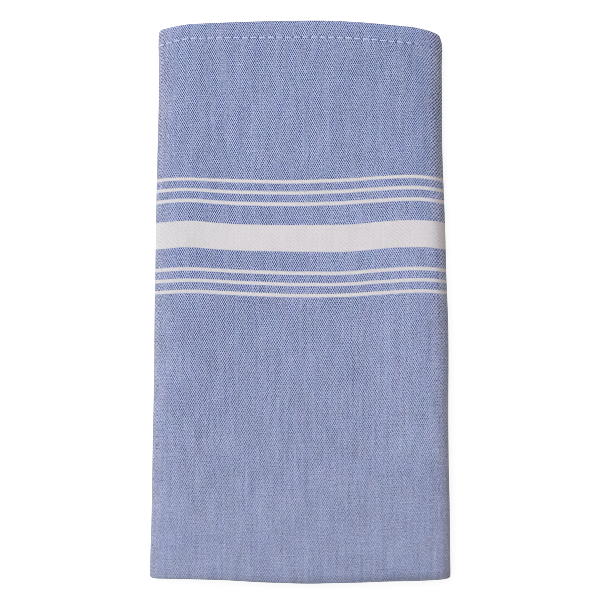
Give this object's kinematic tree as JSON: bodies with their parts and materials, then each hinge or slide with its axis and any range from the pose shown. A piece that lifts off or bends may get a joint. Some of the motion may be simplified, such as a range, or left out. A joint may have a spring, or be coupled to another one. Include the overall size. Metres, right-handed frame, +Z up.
{
  "type": "folded cloth napkin",
  "caption": "Folded square table napkin in blue cotton twill with woven white stripes and stitched hems.",
  "frame": {"origin": "centre of the bounding box's bottom face, on the surface that the folded stack rests on", "axes": "+X to the right across the front face, +Y from the folded end to the hems, +Z up out of the front face"},
  "size_m": [0.1376, 0.2559, 0.0127],
  "materials": {
    "cotton_twill": "woven twill, matt, blue weft on white warp, with woven white stripes",
    "sewing_thread": "spun thread, matt"
  },
  "bodies": {
    "root": {"napkin": "cotton_twill"}
  },
  "joints": []
}
